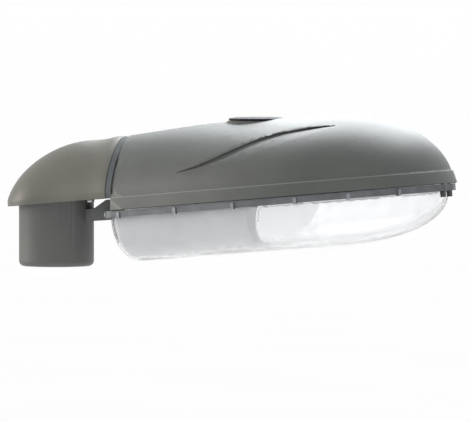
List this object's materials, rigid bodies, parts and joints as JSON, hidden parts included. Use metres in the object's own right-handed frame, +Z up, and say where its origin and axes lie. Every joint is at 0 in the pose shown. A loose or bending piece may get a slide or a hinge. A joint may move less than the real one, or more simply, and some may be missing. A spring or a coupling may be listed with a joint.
{
  "type": "street light head",
  "caption": "Domed street light head with a pole collar, a rear hood, and a clear bowl in a hinged frame below a pear-shaped canopy.",
  "frame": {"origin": "centre of the pole collar's mouth, on the pole's axis", "axes": "+X from the pole out towards the nose, +Z up along the pole, +Y completes a right-handed frame; the head rises 5 degrees towards the nose"},
  "size_m": [0.599, 0.302, 0.1967],
  "materials": {
    "cast_grey": "textured semi-gloss grey coat",
    "seam_rubber": "dark matt rubber",
    "bracket_metal": "light grey coat",
    "bright_steel": "bright plated",
    "dark_steel": "dark plated",
    "frame_alloy": "satin",
    "clear_plastic": "clear gloss moulding",
    "optic_plastic": "clear prismatic moulding",
    "frosted_plastic": "frosted moulding",
    "cap_plastic": "dark satin moulding",
    "seal_rubber": "black matt rubber",
    "white_coat": "white reflector coat",
    "sink_alloy": "anodised",
    "pad_grey": "soft grey pad",
    "board_mask": "white solder mask",
    "chip_phosphor": "yellow phosphor",
    "sheet_zinc": "zinc plated sheet",
    "driver_case": "satin case",
    "surge_case": "orange case",
    "block_plastic": "off-white moulding",
    "gland_plastic": "black moulding"
  },
  "bodies": {
    "head": {"pole_collar": "cast_grey", "rear_hood": "cast_grey", "seam_seal": "seam_rubber", "canopy": "cast_grey", "photocell_cap": "cap_plastic", "photocell_seal": "seal_rubber", "hinge_bracket": "bracket_metal", "hinge_pin": "bright_steel", "bowl_seal": "seal_rubber", "heat_sink": "sink_alloy", "thermal_pad": "pad_grey", "led_board": "board_mask", "led_chips": "chip_phosphor", "lens_plate": "optic_plastic", "reflector_tray": "white_coat", "gear_tray": "sheet_zinc", "led_driver": "driver_case", "surge_protector": "surge_case", "terminal_block": "block_plastic", "cable_gland": "gland_plastic", "hood_screws": "bright_steel", "arm_bolts": "bright_steel", "bracket_screws": "bright_steel", "grub_screws": "dark_steel", "engine_screws": "bright_steel", "gear_screws": "bright_steel"},
    "bowl_door": {"bowl_frame": "frame_alloy", "clear_bowl": "clear_plastic", "gear_cover": "frosted_plastic", "inner_refractor": "optic_plastic", "bowl_clips": "bright_steel", "latch_screws": "dark_steel", "cover_screws": "dark_steel", "optic_screws": "dark_steel"}
  },
  "joints": [
    {"name": "frame_hinge", "type": "hinge", "parent": "head", "child": "bowl_door", "pos_m": [0.0805, 0, 0.06726], "axis": [0, 1, 0], "range_deg": [0, 45]}
  ]
}
